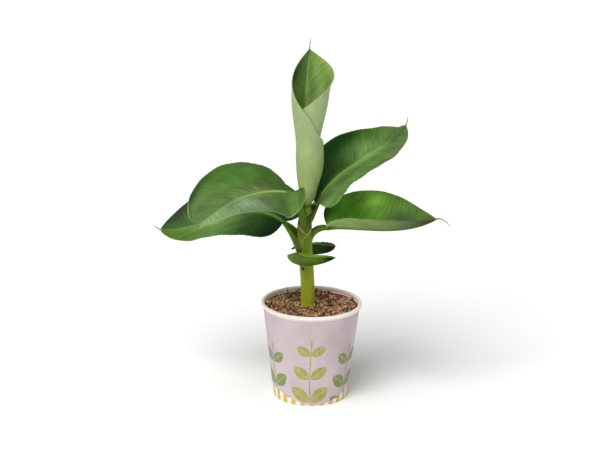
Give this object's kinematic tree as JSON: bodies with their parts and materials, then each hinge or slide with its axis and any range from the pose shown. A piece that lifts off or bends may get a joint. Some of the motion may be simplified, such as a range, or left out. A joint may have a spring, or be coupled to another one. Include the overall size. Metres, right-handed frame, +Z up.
{
  "type": "potted banana plant",
  "caption": "Young banana plant with a pseudostem, four spread leaves, two small low leaves and a rolled top leaf, in a tapered round cover pot.",
  "frame": {"origin": "centre of the cover pot's flat underside", "axes": "+Z up along the pot's axis, -Y towards the plant's front, +X to the right seen from the front"},
  "size_m": [0.383, 0.2813, 0.465],
  "materials": {
    "cover_pot": "matte printed paper board",
    "growing_pot": "matte terracotta-coloured plastic",
    "soil": "matte peat and coir",
    "stem": "satin leaf sheaths",
    "leaf": "satin leaf",
    "young_leaf": "matte pale leaf underside"
  },
  "bodies": {
    "root": {"cover_pot": "cover_pot", "growing_pot": "growing_pot", "potting_soil": "soil", "pseudostem": "stem", "leaf_unfurling": "young_leaf", "leaf_upper_right": "leaf", "leaf_lower_right": "leaf", "leaf_upper_left": "leaf", "leaf_lower_left": "leaf", "small_leaf_front": "leaf", "small_leaf_back": "leaf"}
  },
  "joints": []
}
